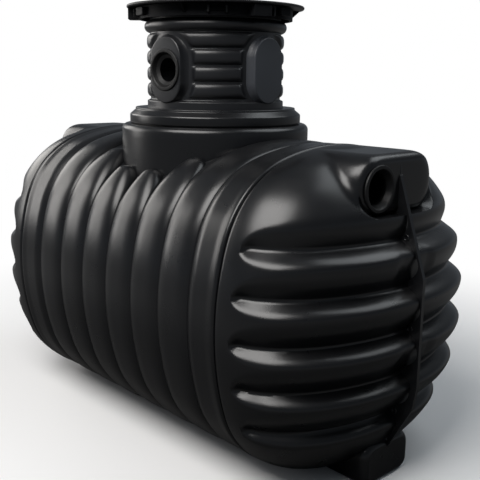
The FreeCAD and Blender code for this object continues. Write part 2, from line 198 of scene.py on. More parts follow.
def quarter(value):
    """A quarter circle from nought to one, steep at its start and level at its end."""
    value = np.clip(value, 0.0, 1.0)
    return np.sqrt(1.0 - (1.0 - value) ** 2)


def soft_max(first, second, reach):
    """The larger of two values, with a parabola of the given reach laid where they cross."""
    overlap = np.maximum(reach - np.abs(first - second), 0.0)
    return np.maximum(first, second) + overlap ** 2 / (4.0 * reach)


def around(count):
    """Angles of a full turn in even steps, the last one a step short of the first."""
    return np.linspace(0.0, 2.0 * np.pi, count, endpoint=False)


def grid_faces(rows, columns, wrap_rows, wrap_columns):
    """Four-sided faces between the neighbours of a grid, closed where a direction wraps."""
    row = np.arange(rows if wrap_rows else rows - 1)[:, None]
    column = np.arange(columns if wrap_columns else columns - 1)[None, :]
    next_row, next_column = (row + 1) % rows, (column + 1) % columns
    corners = [row * columns + column, row * columns + next_column,
               next_row * columns + next_column, next_row * columns + column]
    return np.stack([np.broadcast_to(c, (row.size, column.size)) for c in corners], -1).reshape(-1, 4)


def welded(points, quads):
    """Points that coincide become one, and faces that lose an edge by it become triangles or go.

    Points coincide when they agree to a thousandth of a millimetre."""
    keys = np.round(points * 1e6).astype(np.int64)
    first, inverse = np.unique(keys, axis=0, return_index=True, return_inverse=True)[1:]
    points, quads = points[first], inverse.reshape(-1)[quads]
    lost = quads == np.roll(quads, -1, axis=1)
    count = lost.sum(axis=1)
    three = quads[count == 1]
    triangles = three[~lost[count == 1]].reshape(-1, 3)
    return points, quads[count == 0], triangles


def surface_piece(name, grids, sharp_angle=32.0):
    """One mesh object from grids of points, each given as (points, rows wrap, columns wrap).

    A grid whose signed volume is less than nought is turned round, so that its faces point outwards."""
    all_points, all_quads, start = [], [], 0
    for points, wrap_rows, wrap_columns in grids:
        rows, columns = points.shape[:2]
        quads = grid_faces(rows, columns, wrap_rows, wrap_columns)
        flat = points.reshape(-1, 3)
        a, b, c, d = (flat[quads[:, i]] for i in range(4))
        volume = np.einsum("ij,ij->", a, np.cross(b, c)) + np.einsum("ij,ij->", a, np.cross(c, d))
        if volume < 0.0:
            quads = quads[:, ::-1]
        all_points.append(flat)
        all_quads.append(quads + start)
        start += len(flat)
    points, quads, triangles = welded(np.concatenate(all_points), np.concatenate(all_quads))
    mesh = bpy.data.meshes.new(name)
    mesh.from_pydata(points, [], quads.tolist() + triangles.tolist())
    mesh.shade_smooth()
    mesh.set_sharp_from_angle(angle=math.radians(sharp_angle))
    piece = bpy.data.objects.new(name, mesh)
    bpy.context.scene.collection.objects.link(piece)
    return piece


def placed(piece, material, nodes):
    """The piece gets its material and slot, rides the tank and stands in for the nodes it redraws."""
    piece.data.materials.append(material)
    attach(piece, "root")
    if nodes:
        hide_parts(*nodes)


def dress_node(name, material):
    """A solid that is kept as it is gets its finish."""
    node = bpy.data.objects.get(name)
    if node is None:
        raise RuntimeError("no node named " + name)
    node.data.materials.clear()
    node.data.materials.append(material)


def rounded_corners(corners, radii, steps):
    """A closed outline through the corners, each cut by an arc that leaves both sides at a tangent."""
    corners = np.asarray(corners, float)
    before = np.roll(corners, 1, axis=0) - corners
    after = np.roll(corners, -1, axis=0) - corners
    before /= np.linalg.norm(before, axis=1, keepdims=True)
    after /= np.linalg.norm(after, axis=1, keepdims=True)
    half = 0.5 * np.arccos(np.clip((before * after).sum(axis=1), -1.0, 1.0))
    radii = np.maximum(np.asarray(radii, float), 1e-5)
    middle = before + after
    middle /= np.maximum(np.linalg.norm(middle, axis=1, keepdims=True), 1e-9)
    centres = corners + middle * (radii / np.sin(half))[:, None]
    starts = corners + before * (radii / np.tan(half))[:, None] - centres
    ends = corners + after * (radii / np.tan(half))[:, None] - centres
    share = np.linspace(0.0, 1.0, steps)[None, :, None]
    swing = np.pi - 2.0 * half[:, None, None]
    leaving, coming = np.sin((1.0 - share) * swing), np.sin(share * swing)
    arcs = (leaving * starts[:, None] + coming * ends[:, None]) / np.sin(swing)
    return (centres[:, None] + arcs).reshape(-1, 2)


def revolved(outline, low, columns=192, wraps=True):
    """An outline of (radius, height) points, raised by low and carried round the upright axis."""
    turn = around(columns)
    radius, height = outline[:, :1], outline[:, 1:]
    points = np.stack([radius * np.cos(turn), radius * np.sin(turn),
                       np.broadcast_to(height + low, (len(outline), columns))], -1)
    return points, wraps, True


# Barrel

ARCH_FULLNESS = 3.0  # power that keeps the middle of a rib's arch full
RIB_FEET = 0.68  # power that steepens the feet of a barrel rib's arch
BAND_LEVEL = 0.86  # height of the end band, as a share of a rib's
BAND_SWELL = 0.22  # what the band gains before it drops, as a share of a rib's height
BAND_SHOULDER = 0.042  # length of the band's first climb
BAND_RAMP = 0.036  # length of its swelling
BAND_DROP = 0.010  # length of its drop
COLUMN_STEP = 0.014  # distance between columns round the section
NECK_COLUMN_STEP = 0.006  # the same on the three upper arcs, where the neck stands


def oval_arcs(body):
    """The section's eight tangent arcs as rows of middle y, middle z, radius, first and last angle.

    Side arcs and crown arcs have their middles on the axes, and each corner arc lies inside both, so its
    middle is where two circles of the radii's differences cross."""
    side_y = body.half_width - body.side_radius
    crown_z = body.half_height - body.crown_radius
    to_side = body.side_radius - body.corner_radius
    to_crown = body.crown_radius - body.corner_radius
    span = math.hypot(side_y, crown_z)
    along = (to_side ** 2 - to_crown ** 2 + span ** 2) / (2.0 * span)
    off = math.sqrt(to_side ** 2 - along ** 2)
    corner_y = side_y - along * side_y / span - off * crown_z / span
    corner_z = along * crown_z / span - off * side_y / span
    low = math.atan2(corner_z, corner_y - side_y)
    high = math.atan2(corner_z - crown_z, corner_y)
    side, crown, corner = body.side_radius, body.crown_radius, body.corner_radius
    return np.array([
        (side_y, 0.0, side, -low, low),
        (corner_y, corner_z, corner, low, high),
        (0.0, crown_z, crown, high, math.pi - high),
        (-corner_y, corner_z, corner, math.pi - high, math.pi - low),
        (-side_y, 0.0, side, math.pi - low, math.pi + low),
        (-corner_y, -corner_z, corner, math.pi + low, math.pi + high),
        (0.0, -crown_z, crown, math.pi + high, 2.0 * math.pi - high),
        (corner_y, -corner_z, corner, 2.0 * math.pi - high, 2.0 * math.pi - low),
    ])


def half_width_at(z, offset, body):
    """Half width of the section, grown by an offset, at a height over the axis."""
    side, corner, crown = oval_arcs(body)[:3]
    z = np.abs(z)
    on_side = side[0] + np.sqrt(np.maximum((side[2] + offset) ** 2 - z ** 2, 0.0))
    on_corner = corner[0] + np.sqrt(np.maximum((corner[2] + offset) ** 2 - (z - corner[1]) ** 2, 0.0))
    on_crown = np.sqrt(np.maximum((crown[2] + offset) ** 2 - (z - crown[1]) ** 2, 0.0))
    at_low = (side[2] + offset) * math.sin(side[4])
    at_high = corner[1] + (corner[2] + offset) * math.sin(corner[4])
    return np.where(z <= at_low, on_side, np.where(z <= at_high, on_corner, on_crown))


def top_at(y, body):
    """Height over the axis of the section's upper half, at a distance from the middle."""
    corner, crown = oval_arcs(body)[1:3]
    y = np.abs(y)
    on_crown = crown[1] + np.sqrt(np.maximum(crown[2] ** 2 - y ** 2, 0.0))
    on_corner = corner[1] + np.sqrt(np.maximum(corner[2] ** 2 - (y - corner[0]) ** 2, 0.0))
    return np.where(y <= crown[2] * math.cos(corner[4]), on_crown, on_corner)


def rib_arch(place, feet):
    """Share of a rib's rise from -1 to 1 across it: one less the cubed distance, to the power of its feet."""
    return np.maximum(1.0 - np.abs(place) ** ARCH_FULLNESS, 0.0) ** feet


def band_rise(x, body):
    """Rise over the groove line beyond the ribs.

    The end band climbs a rounded shoulder, runs level, swells a little and drops in a quarter circle; the
    dome's lip climbs from that groove in another one."""
    rise, drop = body.rib_height, body.band_end - BAND_DROP
    climb = np.clip((x - body.band_start) / BAND_SHOULDER, 0.0, 1.0)
    band = BAND_LEVEL * rise * np.sin(0.5 * np.pi * climb)
    band = band + BAND_SWELL * rise * smooth((x - drop + BAND_RAMP) / BAND_RAMP)
    fall = np.maximum(x - drop, 0.0) / (body.band_end - drop)
    band = band * np.sqrt(np.clip(1.0 - fall ** 2, 0.0, 1.0))
    lip = rise * quarter((x - body.band_end) / (body.dome_base - body.band_end))
    return np.where(x <= body.band_end, band, lip)


def crowded(start, end, count):
    """Places from start to end, crowded at both by a cosine spacing."""
    return start + (end - start) * (0.5 - 0.5 * np.cos(np.pi * np.linspace(0.0, 1.0, count)))


def oval_columns(body):
    """The arc and the angle of every column round the section, closer together near the neck."""
    arcs = oval_arcs(body)
    steps = [COLUMN_STEP] + 3 * [NECK_COLUMN_STEP] + 4 * [COLUMN_STEP]
    counts = [int(math.ceil(a[2] * (a[4] - a[3]) / s)) for a, s in zip(arcs, steps)]
    angle = np.concatenate([np.linspace(a[3], a[4], n, endpoint=False) for a, n in zip(arcs, counts)])
    return arcs[np.repeat(np.arange(len(arcs)), counts)], angle


def neck_reach(x, y, upper, body):
    """Distance outwards from the neck's wall, less than nought inside it, and large under the axis."""
    return np.where(upper, np.hypot(x, y) - body.neck_radius, 1.0)


def neck_sink(x, y, upper, body):
    """How far the grooves' floor sinks beside the neck: most at the wall and on the barrel's sides."""
    side = y ** 2 / np.maximum(x ** 2 + y ** 2, 1e-9)
    return body.neck_sink * side * (1.0 - smooth(neck_reach(x, y, upper, body) / body.rib_nose))


def barrel_surface(body):
    """The barrel's wall: the oval section carried along X and grown by the ribs' rise, then back inside.

    A rib that meets the neck ends as a finger: its half width draws in along a quarter ellipse, its end
    drops in a short one, and the floor beside it sinks. The grid's rows follow the fingers' edges."""
    arcs, angle = oval_columns(body)
    half = 0.5 * body.rib_pitch
    across = np.sin(np.linspace(-0.5, 0.5, 21) * np.pi)[:, None]
    y = arcs[:, 0] + arcs[:, 2] * np.cos(angle)
    upper = arcs[:, 1] + arcs[:, 2] * np.sin(angle) > 0.0
    places, rises = [], []
    for i in range(-RIBS // 2, RIBS // 2):
        middle = (i + 0.5) * body.rib_pitch
        open_half, end = np.full(len(angle), half), np.ones(len(angle))
        if abs(middle) < body.neck_radius:
            reach = neck_reach(middle, y, upper, body)
            share = body.finger_share
            open_half = half * (share + (1.0 - share) * quarter(reach / body.rib_nose))
            end = quarter(reach / body.finger_round)
        x = np.concatenate([np.full((1, len(angle)), middle - half), middle + across * open_half])
        sink = neck_sink(x, y, upper, body)
        arch = np.concatenate([np.zeros((1, len(angle))), rib_arch(across, RIB_FEET) * end])
        places.append(x)
        rises.append((body.rib_height + sink) * arch - sink)
    band = np.concatenate([crowded(body.band_start, body.band_end, 36)[:-1],
                           crowded(body.band_end, body.dome_base, 8)])[:, None]
    rise = band_rise(band, body)
    spread = np.ones((1, len(angle)))
    places = [-band[::-1] * spread] + places + [band * spread]
    rises = [rise[::-1] * spread] + rises + [rise * spread]
    inside = np.linspace(body.dome_base, -body.dome_base, 14)[:, None] * spread
    deeper = neck_sink(inside, y, upper, body)
    along = np.concatenate(places + [inside])
    grown = np.concatenate(rises + [-body.wall - deeper])
    points = np.stack([along, arcs[:, 0] + (arcs[:, 2] + grown) * np.cos(angle),
                       arcs[:, 1] + (arcs[:, 2] + grown) * np.sin(angle) + body.axis_height], -1)
    return points, True, True


# Ends

GROOVES = 5  # level grooves of an end
DOME_POWER = 2.2  # power of the dome's superellipse
BOSS_POWER = 9.0  # power of the boss's, which makes its plan nearly square
ROW_STEP = 0.005  # distance between rows from groove to groove
GROOVE_SOFTENS = 0.25  # length over which a groove softens towards the seam
LIP_AT_TIP = 0.28  # softness of a groove's lips at its tip
LIP_GAIN = 0.26  # what that softness gains by the seam
UNDER_LOSS = 0.10  # what a groove's reach below its floor loses by the seam
ARCH_FADE = 0.06  # width over which an arch dies away
GROOVE_FLOOR = 0.004  # half height of a groove's level floor
TIP_RAMP = 0.03  # length over which a groove gains the depth of its tip
FACE_BLEND = 0.016  # width over which the boss's outline gives way to its flat face
PIT_DEPTH = 0.16  # depth of the pit behind a socket
PIT_PLAY = 0.003  # room between that pit and the seal's sleeve
END_LIP = 0.003  # how far an end seal's lip stands in from its bore
BACK_SHARE = 0.985  # width of the flat back of an end, as a share of the end's
BACK_SET = 0.004  # how far the flat back lies inside the barrel
FOOT_EDGE = 0.026  # radius of the foot's front edge
FOOT_INSET = 0.02  # the most that this edge draws the foot in
LOW_CORNER = 0.75  # radius of the foot's lower corners, as a share of the upper ones'
CREST_START = 0.01  # how far under the boss's middle the seam's ridge starts
CREST_SUNK = 0.002  # how far the ridge's axis lies in the boss's face
CREST_PROUD = 0.005  # how far the ridge stands out from its axis
FIN_HALF = 0.007  # half thickness of the seam's fin and ridge
EYELET_WIRE = 0.003  # half thickness of a ring round a hole of the fin
EYELET_OUT = 0.016  # how far a hole lies out from the groove's floor
EYELET_UP = 0.006  # how far a hole lies over the groove's floor


def groove_levels(end):
    """Heights of the grooves' floors over the axis, from the top one down."""
    return [(GROOVES // 2 - i) * end.groove_pitch - end.groove_drop for i in range(GROOVES)]


def end_rows(body, end):
    """Heights of an end's rows and how far the boss has grown in each.

    Rows crowd at the poles and meet every groove's floor. At the boss's flat top and bottom the height
    stands still while the boss grows, so that these faces come out level."""
    top = body.half_height + body.rib_height
    high = end.boss_middle + end.boss_half_height
    low = end.boss_middle - end.boss_half_height
    levels = groove_levels(end)
    growing, fading = np.linspace(0.0, 1.0, 12), np.linspace(1.0, 0.0, 10)
    pole = top - (top - high) * np.linspace(0.0, 1.0, 7)[:-1] ** 2
    front = end.boss_middle + end.boss_half_height * np.sin(np.linspace(0.5, -0.5, 46)[1:-1] * np.pi)
    runs = [(pole, np.zeros_like(pole)), (np.full_like(growing, high), growing),
            (front, np.ones_like(front)), (np.full_like(fading, low), fading)]
    stops = [low] + levels
    for upper, lower in zip(stops[:-1], stops[1:]):
        run = np.linspace(upper, lower, int(round((upper - lower) / ROW_STEP)) + 1)[1:]
        runs.append((run, np.zeros_like(run)))
    keel = levels[-1] + (-top - levels[-1]) * np.sin(0.5 * np.pi * np.linspace(0.0, 1.0, 58)[1:])
    runs.append((keel, np.zeros_like(keel)))
    return [np.concatenate(parts) for parts in zip(*runs)]


def dome_share(z, body):
    """Share of the dome's length at a height over the axis: a superellipse from the middle to the top."""
    top = body.half_height + body.rib_height
    return np.maximum(1.0 - (np.abs(z) / top) ** DOME_POWER, 0.0) ** (1.0 / DOME_POWER)


def oval_reach(angle, reach, width, power):
    """Distance from the base's middle to a superellipse of the given reach and half width."""
    reach, width = np.maximum(reach, 1e-6), np.maximum(width, 1e-6)
    ahead = (np.abs(np.cos(angle)) / reach) ** power
    aside = (np.abs(np.sin(angle)) / width) ** power
    return (ahead + aside) ** (-1.0 / power)


def groove_share(z, y, ahead, end):
    """Share of the groove's depth at a height, a side distance and a distance from the dome's base.

    A groove is a valley with straight sides: one less the height from its floor over its half width,
    softly held above nought, so that the lips are crisp at its tip and round at the seam. The half width
    opens in a quarter ellipse. The second and fourth grooves reach higher beside the seam, as arches."""
    opening = quarter((ahead - end.tip_start) / end.tip_length)
    seam = smooth((ahead - end.tip_start) / GROOVE_SOFTENS)
    lip = LIP_AT_TIP + LIP_GAIN * seam
    arch = end.arch_rise * smooth((end.arch_half_width - np.abs(y)) / ARCH_FADE)
    reach = end.groove_pitch * opening
    share = 0.0
    for i, level in enumerate(groove_levels(end)):
        over = reach * end.groove_over + (i % 2) * arch
        under = reach * (end.groove_under - UNDER_LOSS * seam)
        half = np.where(z > level, over, under)
        away = np.maximum(np.abs(z - level) - GROOVE_FLOOR, 0.0) / np.maximum(half, 1e-6)
        share = share + np.maximum(soft_max(1.0 - away, 0.0 * away, lip), 0.0)
    return np.where(opening > 0.0, np.minimum(share, 1.0), 0.0)


def end_surface(body, end, side):
    """A closed domed end: level rows of a superellipse, cut by grooves, with the boss grown out of it.

    Every row is a distance from the base's middle as a function of angle. Dome and boss join by a soft
    maximum; inside the boss's outline its flat face is taken, and a pit lies behind the socket."""
    rows, grown = (run[:, None] for run in end_rows(body, end))
    angle = np.linspace(-0.5 * np.pi, 0.5 * np.pi, 281)
    width = half_width_at(rows, body.rib_height, body)
    share = dome_share(rows, body)
    dome = oval_reach(angle, end.dome_length * share, width, DOME_POWER)
    floor = oval_reach(angle, (end.dome_length - end.groove_depth) * share, width, DOME_POWER)
    ahead = dome * np.cos(angle)
    ramp = quarter((ahead - end.tip_start) / TIP_RAMP)
    depth = dome - floor + end.tip_depth * ramp * np.sin(angle) ** 2
    dome = dome - depth * groove_share(rows, dome * np.sin(angle), ahead, end)

    off_middle = rows - end.boss_middle
    bend = np.sqrt(np.maximum(end.boss_half_height ** 2 - off_middle ** 2, 0.0))
    boss_width = end.boss_half_width - end.boss_half_height + bend
    inward = np.clip(1.0 - (end.boss_half_height - np.abs(off_middle)) / end.boss_edge, 0.0, 1.0)
    boss_reach = end.boss_reach - end.boss_edge * (1.0 - np.sqrt(1.0 - inward ** 2))
    boss = oval_reach(angle, boss_reach, boss_width, BOSS_POWER)
    joined = soft_max(dome, boss, np.maximum(end.boss_fillet * bend / end.boss_half_height, 1e-4))
    face_y = end.boss_reach * np.tan(np.clip(angle, -1.5, 1.5))
    within = smooth((boss_width - np.abs(face_y)) / FACE_BLEND + 0.5)
    joined = joined + within * (boss - joined)
    socket = np.hypot(face_y + end.socket_side, off_middle + end.socket_drop)
    pit = (end.boss_reach - PIT_DEPTH) / np.cos(np.clip(angle, -1.2, 1.2))
    joined = np.where(socket < end.sleeve_radius + PIT_PLAY, pit, joined)
    reach = dome + grown * (joined - dome)

    x = body.dome_base + reach * np.cos(angle)
    y = reach * np.sin(angle)
    back = np.linspace(BACK_SHARE, -BACK_SHARE, 9)[None, :] * width
    x = np.concatenate([x, np.full(back.shape, body.dome_base - BACK_SET)], axis=1)
    y = np.concatenate([y, back], axis=1)
    x[[0, -1]], y[[0, -1]] = body.dome_base, 0.0
    points = np.stack([side * x, side * y, np.broadcast_to(rows + body.axis_height, x.shape)], -1)
    return points, False, True


def foot_surface(body, end, side):
    """A rounded block: its rounded-square section is carried along X and drawn in at the front edge.

    The section closes to a point at the root and in the middle of the front face."""
    root, front = body.dome_base + end.foot_root, body.dome_base + end.foot_reach
    bend = np.linspace(0.0, 0.5 * np.pi, 9)[1:]
    x = np.concatenate([[root], np.linspace(root, front - FOOT_EDGE, 10),
                        front - FOOT_EDGE + FOOT_EDGE * np.sin(bend), [front, front]])
    inset = np.minimum(FOOT_EDGE * (1.0 - np.cos(bend)), FOOT_INSET)
    wide, high, corner = end.foot_half_width, end.foot_height, end.foot_corner
    section = rounded_corners([(-wide, 0.0), (wide, 0.0), (wide, high), (-wide, high)],
                              [LOW_CORNER * corner, LOW_CORNER * corner, corner, corner], 12)
    middle = 0.5 * high
    size_y, size_z = (np.concatenate([[0.0], np.ones(10), 1.0 - inset / half, [0.5, 0.0]])[:, None]
                      for half in (wide, middle))
    y = size_y * section[:, 0]
    z = middle + size_z * (section[:, 1] - middle)
    points = np.stack([side * np.broadcast_to(x[:, None], y.shape), side * y, z], -1)
    return points, False, True


def fin_crest_surface(body, end, side):
    """A slim ridge up the boss's face: an ellipse carried upwards while it shrinks to a point."""
    share = np.linspace(0.0, 1.0, 16)[:, None]
    turn = around(24)
    low, high = end.boss_middle - CREST_START, end.boss_middle + end.crest_rise
    size = np.sqrt(1.0 - share ** 2)
    x = body.dome_base + end.boss_reach - CREST_SUNK + CREST_PROUD * size * np.cos(turn)
    y = FIN_HALF * size * np.sin(turn)
    z = np.broadcast_to(low + share * (high - low) + body.axis_height, x.shape)
    points = np.stack([side * x, side * y, z], -1)
    shut = points[:1] * (1.0, 0.0, 1.0)
    return np.concatenate([shut, points]), False, True


def eyelet_surface(body, end, side, level, face):
    """A small ring round a hole of the seam fin: a circle carried round a circle."""
    floor = (end.dome_length - end.groove_depth) * dome_share(level, body)
    round_hole, round_ring = around(28)[:, None], around(12)
    reach = end.eyelet_radius + EYELET_WIRE * np.cos(round_ring)
    x = body.dome_base + floor + EYELET_OUT + reach * np.cos(round_hole)
    z = body.axis_height + level + EYELET_UP + reach * np.sin(round_hole)
    y = np.broadcast_to(FIN_HALF * face + EYELET_WIRE * np.sin(round_ring), x.shape)
    return np.stack([side * x, y, z], -1), True, True


def turned_seal(end, middle, outward, lip):
    """A ring with a sleeve and an inner lip: a closed outline carried round the pipe's axis.

    The outline's points are radius and distance out of the face. They run from the lip's back round the
    sleeve, the ring and the throat to the lip's front."""
    bore, ring, sleeve = end.bore_radius, end.seal_radius, end.sleeve_radius
    proud, depth = end.seal_proud, end.seal_depth
    outline = rounded_corners(
        [(lip, -0.022), (bore - 0.001, -depth), (sleeve, -depth), (sleeve, -0.001), (ring, -0.001),
         (ring - 0.001, proud), (bore + 0.009, proud), (bore + 0.006, 0.4 * proud), (bore, -0.010),
         (lip, -0.016)],
        [0.002, 0.001, 0.001, 0.001, 0.001, 0.0035, 0.002, 0.001, 0.002, 0.002], 5)
    turn = around(96)[None, :, None]
    upright, outward = np.array((0.0, 0.0, 1.0)), np.asarray(outward, float)
    ring_way = np.cos(turn) * np.cross(upright, outward) + np.sin(turn) * upright
    radius, out = outline[:, :1, None], outline[:, 1:, None]
    return np.asarray(middle) + radius * ring_way + out * outward, True, True


# Neck, collar and riser

NECK_FOOT = 0.03  # how far the neck's wall stands in the barrel, under its sunk floor
GASKET_ROUND = 0.0015  # corner radius of the gasket
RISER_RIBS = 4  # flat ribs of the riser
RISER_FEET = 0.6  # power that steepens the feet of a riser rib's arch
RISER_START = 0.012  # how far under the collar's top the riser's wall starts
RIB_FADE = 0.022  # length over which a riser rib dies away beside a pad
BEAD_BLEND = 0.006  # softness of the line where bead and wall meet
RISER_PIT = 0.10  # depth of the pit behind the front pad's hole, and of the rims that close the wall
HOLE_PLAY = 0.004  # room between that pit and the seal's sleeve
PAD_EDGE = 0.006  # radius of the edge round a pad's face
PAD_HOLE = 0.03  # depth of the wall round a pad's hole
PAD_BACK = 0.06  # how far a pad's hidden back lies behind its face
PAD_SUNK = 0.004  # how far a pad's flare ends inside the riser's wall
PAD_FLARE = 0.005  # how far a pad's flare spreads evenly
PAD_HOLLOW = 0.013  # what it spreads more in its last, hollow part


def seat_height(body):
    """Height over the axis of the gasket's top, where collar and riser stand."""
    return body.neck_top + body.gasket_thickness


def wall_radius(body, riser):
    """Outer radius of the riser's bare wall."""
    return body.manhole_radius + riser.riser_wall


def neck_surface(body):
    """The neck: top plate, rounded shoulder and wall, whose foot stands in the ribbed barrel.

    Rows run from the manhole's rim outwards and down to a depth under the barrel's own height at each
    angle, and the inside closes the wall."""
    turn = around(288)
    radius, top, inner = body.neck_radius, body.neck_top, body.neck_radius - body.wall
    bend = np.linspace(0.0, 0.5 * np.pi, 9)
    foot = top_at(radius * np.sin(turn), body) - body.neck_sink - NECK_FOOT
    plate = np.linspace(body.manhole_radius, radius - body.neck_round, 6)[:-1]
    distance = np.concatenate([plate, radius - body.neck_round * (1.0 - np.sin(bend)), np.full(8, radius),
                               [inner, inner, body.manhole_radius]])
    level = np.concatenate([np.full(5, top), top - body.neck_round * (1.0 - np.cos(bend)), np.full(8, top),
                            [top, top - body.wall, top - body.wall]])
    drop = np.concatenate([np.zeros(14), np.linspace(0.0, 1.0, 9)[1:], [1.0, 0.0, 0.0]])[:, None]
    start = np.where(drop > 0.0, top - body.neck_round, level[:, None])
    height = start + drop * (foot - start)
    points = np.stack([distance[:, None] * np.cos(turn), distance[:, None] * np.sin(turn),
                       height + body.axis_height], -1)
    return points, True, True


def gasket_surface(body):
    """The gasket: an oblong section with softened corners, carried round the upright axis."""
    inner, outer = body.manhole_radius, body.gasket_radius
    low, high = body.neck_top, seat_height(body)
    outline = rounded_corners([(inner, low), (outer, low), (outer, high), (inner, high)],
                              4 * [GASKET_ROUND], 5)
    return revolved(outline, body.axis_height)


def collar_surface(body, riser):
    """The collar: a lower tier whose top falls to its edge and a narrower upper tier, carried round."""
    bore, outer = wall_radius(body, riser), body.collar_radius
    back, seat = body.collar_radius - body.collar_step, seat_height(body)
    tier = seat + body.collar_height
    top = tier + body.collar_step_height
    outline = rounded_corners([(bore, seat), (outer, seat), (outer, tier - body.collar_fall), (back, tier),
                               (back, top), (bore, top)], [0.001, 0.003, 0.010, 0.004, 0.003, 0.001], 7)
    return revolved(outline, body.axis_height)


def pad_ways(riser):
    """Level directions that the four pads face, turned with the riser."""
    turns = {name: riser.turn + math.radians(angle) for name, angle in PAD_TURNS.items()}
    return {name: (math.cos(angle), math.sin(angle)) for name, angle in turns.items()}


def pad_height(body, riser):
    """Height of the pads' middle over the floor."""
    return body.axis_height + body.neck_top + body.gasket_thickness + riser.pad_above_seat


def pad_gap(across, up, riser):
    """Distance from an upright obround pad's outline, less than nought inside it."""
    straight = riser.pad_half_height - riser.pad_half_width
    return np.hypot(across, np.maximum(np.abs(up) - straight, 0.0)) - riser.pad_half_width


def riser_surface(body, riser, end):
    """The riser's wall: a turned profile of hem, flat ribs and bead whose ribs die away at the pads.

    Radius is a function of angle and height; behind the front pad's hole the wall dips into a pit."""
    seat, base = seat_height(body), wall_radius(body, riser)
    hem_low = seat + body.collar_height + body.collar_step_height
    hem_top = seat + riser.hem_top
    half, flank = 0.5 * riser.rib_crest, riser.rib_flank
    highest = hem_top - half + RISER_RIBS * riser.rib_pitch
    roll = highest + riser.roll_above_ribs
    z = np.linspace(hem_low - RISER_START, seat + riser.riser_height, 236)[:, None]
    turn = around(300)
    pads = seat + riser.pad_above_seat
    clear = 1.0
    for way in pad_ways(riser).values():
        facing = np.arctan2(way[1], way[0])
        ahead = np.cos(turn - facing) > 0.0
        gap = pad_gap(base * np.sin(turn - facing), z - pads, riser)
        clear = np.where(ahead, np.minimum(clear, smooth((gap - riser.pad_clear) / RIB_FADE)), clear)
    ribs = 0.0
    for i in range(RISER_RIBS):
        middle = highest - i * riser.rib_pitch
        ribs = ribs + rib_arch((z - middle) / (half + flank), RISER_FEET)
    hem = smooth((hem_top + flank - z) / flank)
    bead = np.sqrt(np.maximum(riser.roll_radius ** 2 - (z - roll) ** 2, 0.0))
    radius = base + riser.rib_height * (ribs * clear + hem)
    radius = soft_max(radius, base + bead + 0.0 * turn, BEAD_BLEND)
    way = pad_ways(riser)["front"]
    across = np.cos(turn) * way[1] - np.sin(turn) * way[0]
    ahead = np.cos(turn) * way[0] + np.sin(turn) * way[1]
    hole = np.hypot(base * across, z - pads)
    radius = np.where((hole < end.sleeve_radius + HOLE_PLAY) & (ahead > 0.0), base - RISER_PIT, radius)
    rim = np.full((1, len(turn)), body.manhole_radius - RISER_PIT)
    radius = np.concatenate([rim, radius, rim])
    z = np.concatenate([z[:1], z, z[-1:]])
    points = np.stack([radius * np.cos(turn), radius * np.sin(turn),
                       np.broadcast_to(z + body.axis_height, radius.shape)], -1)
    return points, True, True


def pad_surface(body, riser, way, open_radius):
    """A pad: rings pass from a round middle to the obround outline, round its edge and flare to the wall.

    The flare's depth is a share of the way from the edge to the riser's wall, and its spread grows as the
    share plus its fourth power, so that it leaves the face square and meets the wall in a hollow."""
    share = around(128)
    side, rise = np.cos(share), np.sin(share)
    straight = riser.pad_half_height - riser.pad_half_width
    outline_y = riser.pad_half_width * side
    outline_z = riser.pad_half_width * rise + straight * np.sign(np.round(rise, 9))
    base = wall_radius(body, riser)
    face = base + riser.pad_face_lift
    level = np.zeros_like(share)
    rows = [(open_radius * side, open_radius * rise, level + face - PAD_HOLE),
            (open_radius * side, open_radius * rise, level + face)]
    for bend in np.linspace(0.0, 0.5 * np.pi, 7):
        cut, fall = PAD_EDGE * (1.0 - math.sin(bend)), PAD_EDGE * (1.0 - math.cos(bend))
        rows.append((outline_y - cut * side, outline_z - cut * rise, level + face - fall))
    for part in np.linspace(0.0, 1.0, 10)[1:]:
        spread = PAD_FLARE * part + PAD_HOLLOW * part ** 4
        across = outline_y + spread * side
        wall = np.sqrt(base ** 2 - across ** 2) - PAD_SUNK
        rows.append((across, outline_z + spread * rise, (face - PAD_EDGE) * (1.0 - part) + wall * part))
    rows.append((outline_y, outline_z, level + face - PAD_BACK))
    rows.append((open_radius * side, open_radius * rise, level + face - PAD_BACK))
    across, up, out = (np.stack(parts) for parts in zip(*rows))
    points = np.stack([out * way[0] - across * way[1], out * way[1] + across * way[0],
                       up + pad_height(body, riser)], -1)
    return points, True, True


# Cover

LUGS = 3  # lock lugs, evenly spaced
LUG_TURN = math.radians(228.8)  # turn of the first of them
RIM_ROUND = 0.004  # how far the disc's rim bulges outwards
# Posts and plates on the skirt after each lug:
# turn in degrees, half width, reach, start below the disc, height
SKIRT_POSTS = ((12.0, 0.0035, 0.020, 0.003, 0.036), (85.0, 0.0035, 0.012, 0.006, 0.026),
               (97.0, 0.0035, 0.012, 0.006, 0.026))
SKIRT_PLATES = ((25.0, 0.0360, 0.016, 0.004, 0.030), (91.0, 0.0310, 0.005, 0.012, 0.014))
BLOCK_OUT = (-0.6, -0.6, 0.8, 1.0, 1.0)  # rows of a block out from the skirt, as shares of its reach
BLOCK_SIZE = (0.0, 1.0, 1.0, 0.9, 0.0)  # size of the section in those rows
BLOCK_SQUARE = 0.25  # power that squares the section


def cover_rest(body, riser):
    """Height over the axis at which the cover's disc lies on the riser."""
    return seat_height(body) + riser.riser_height


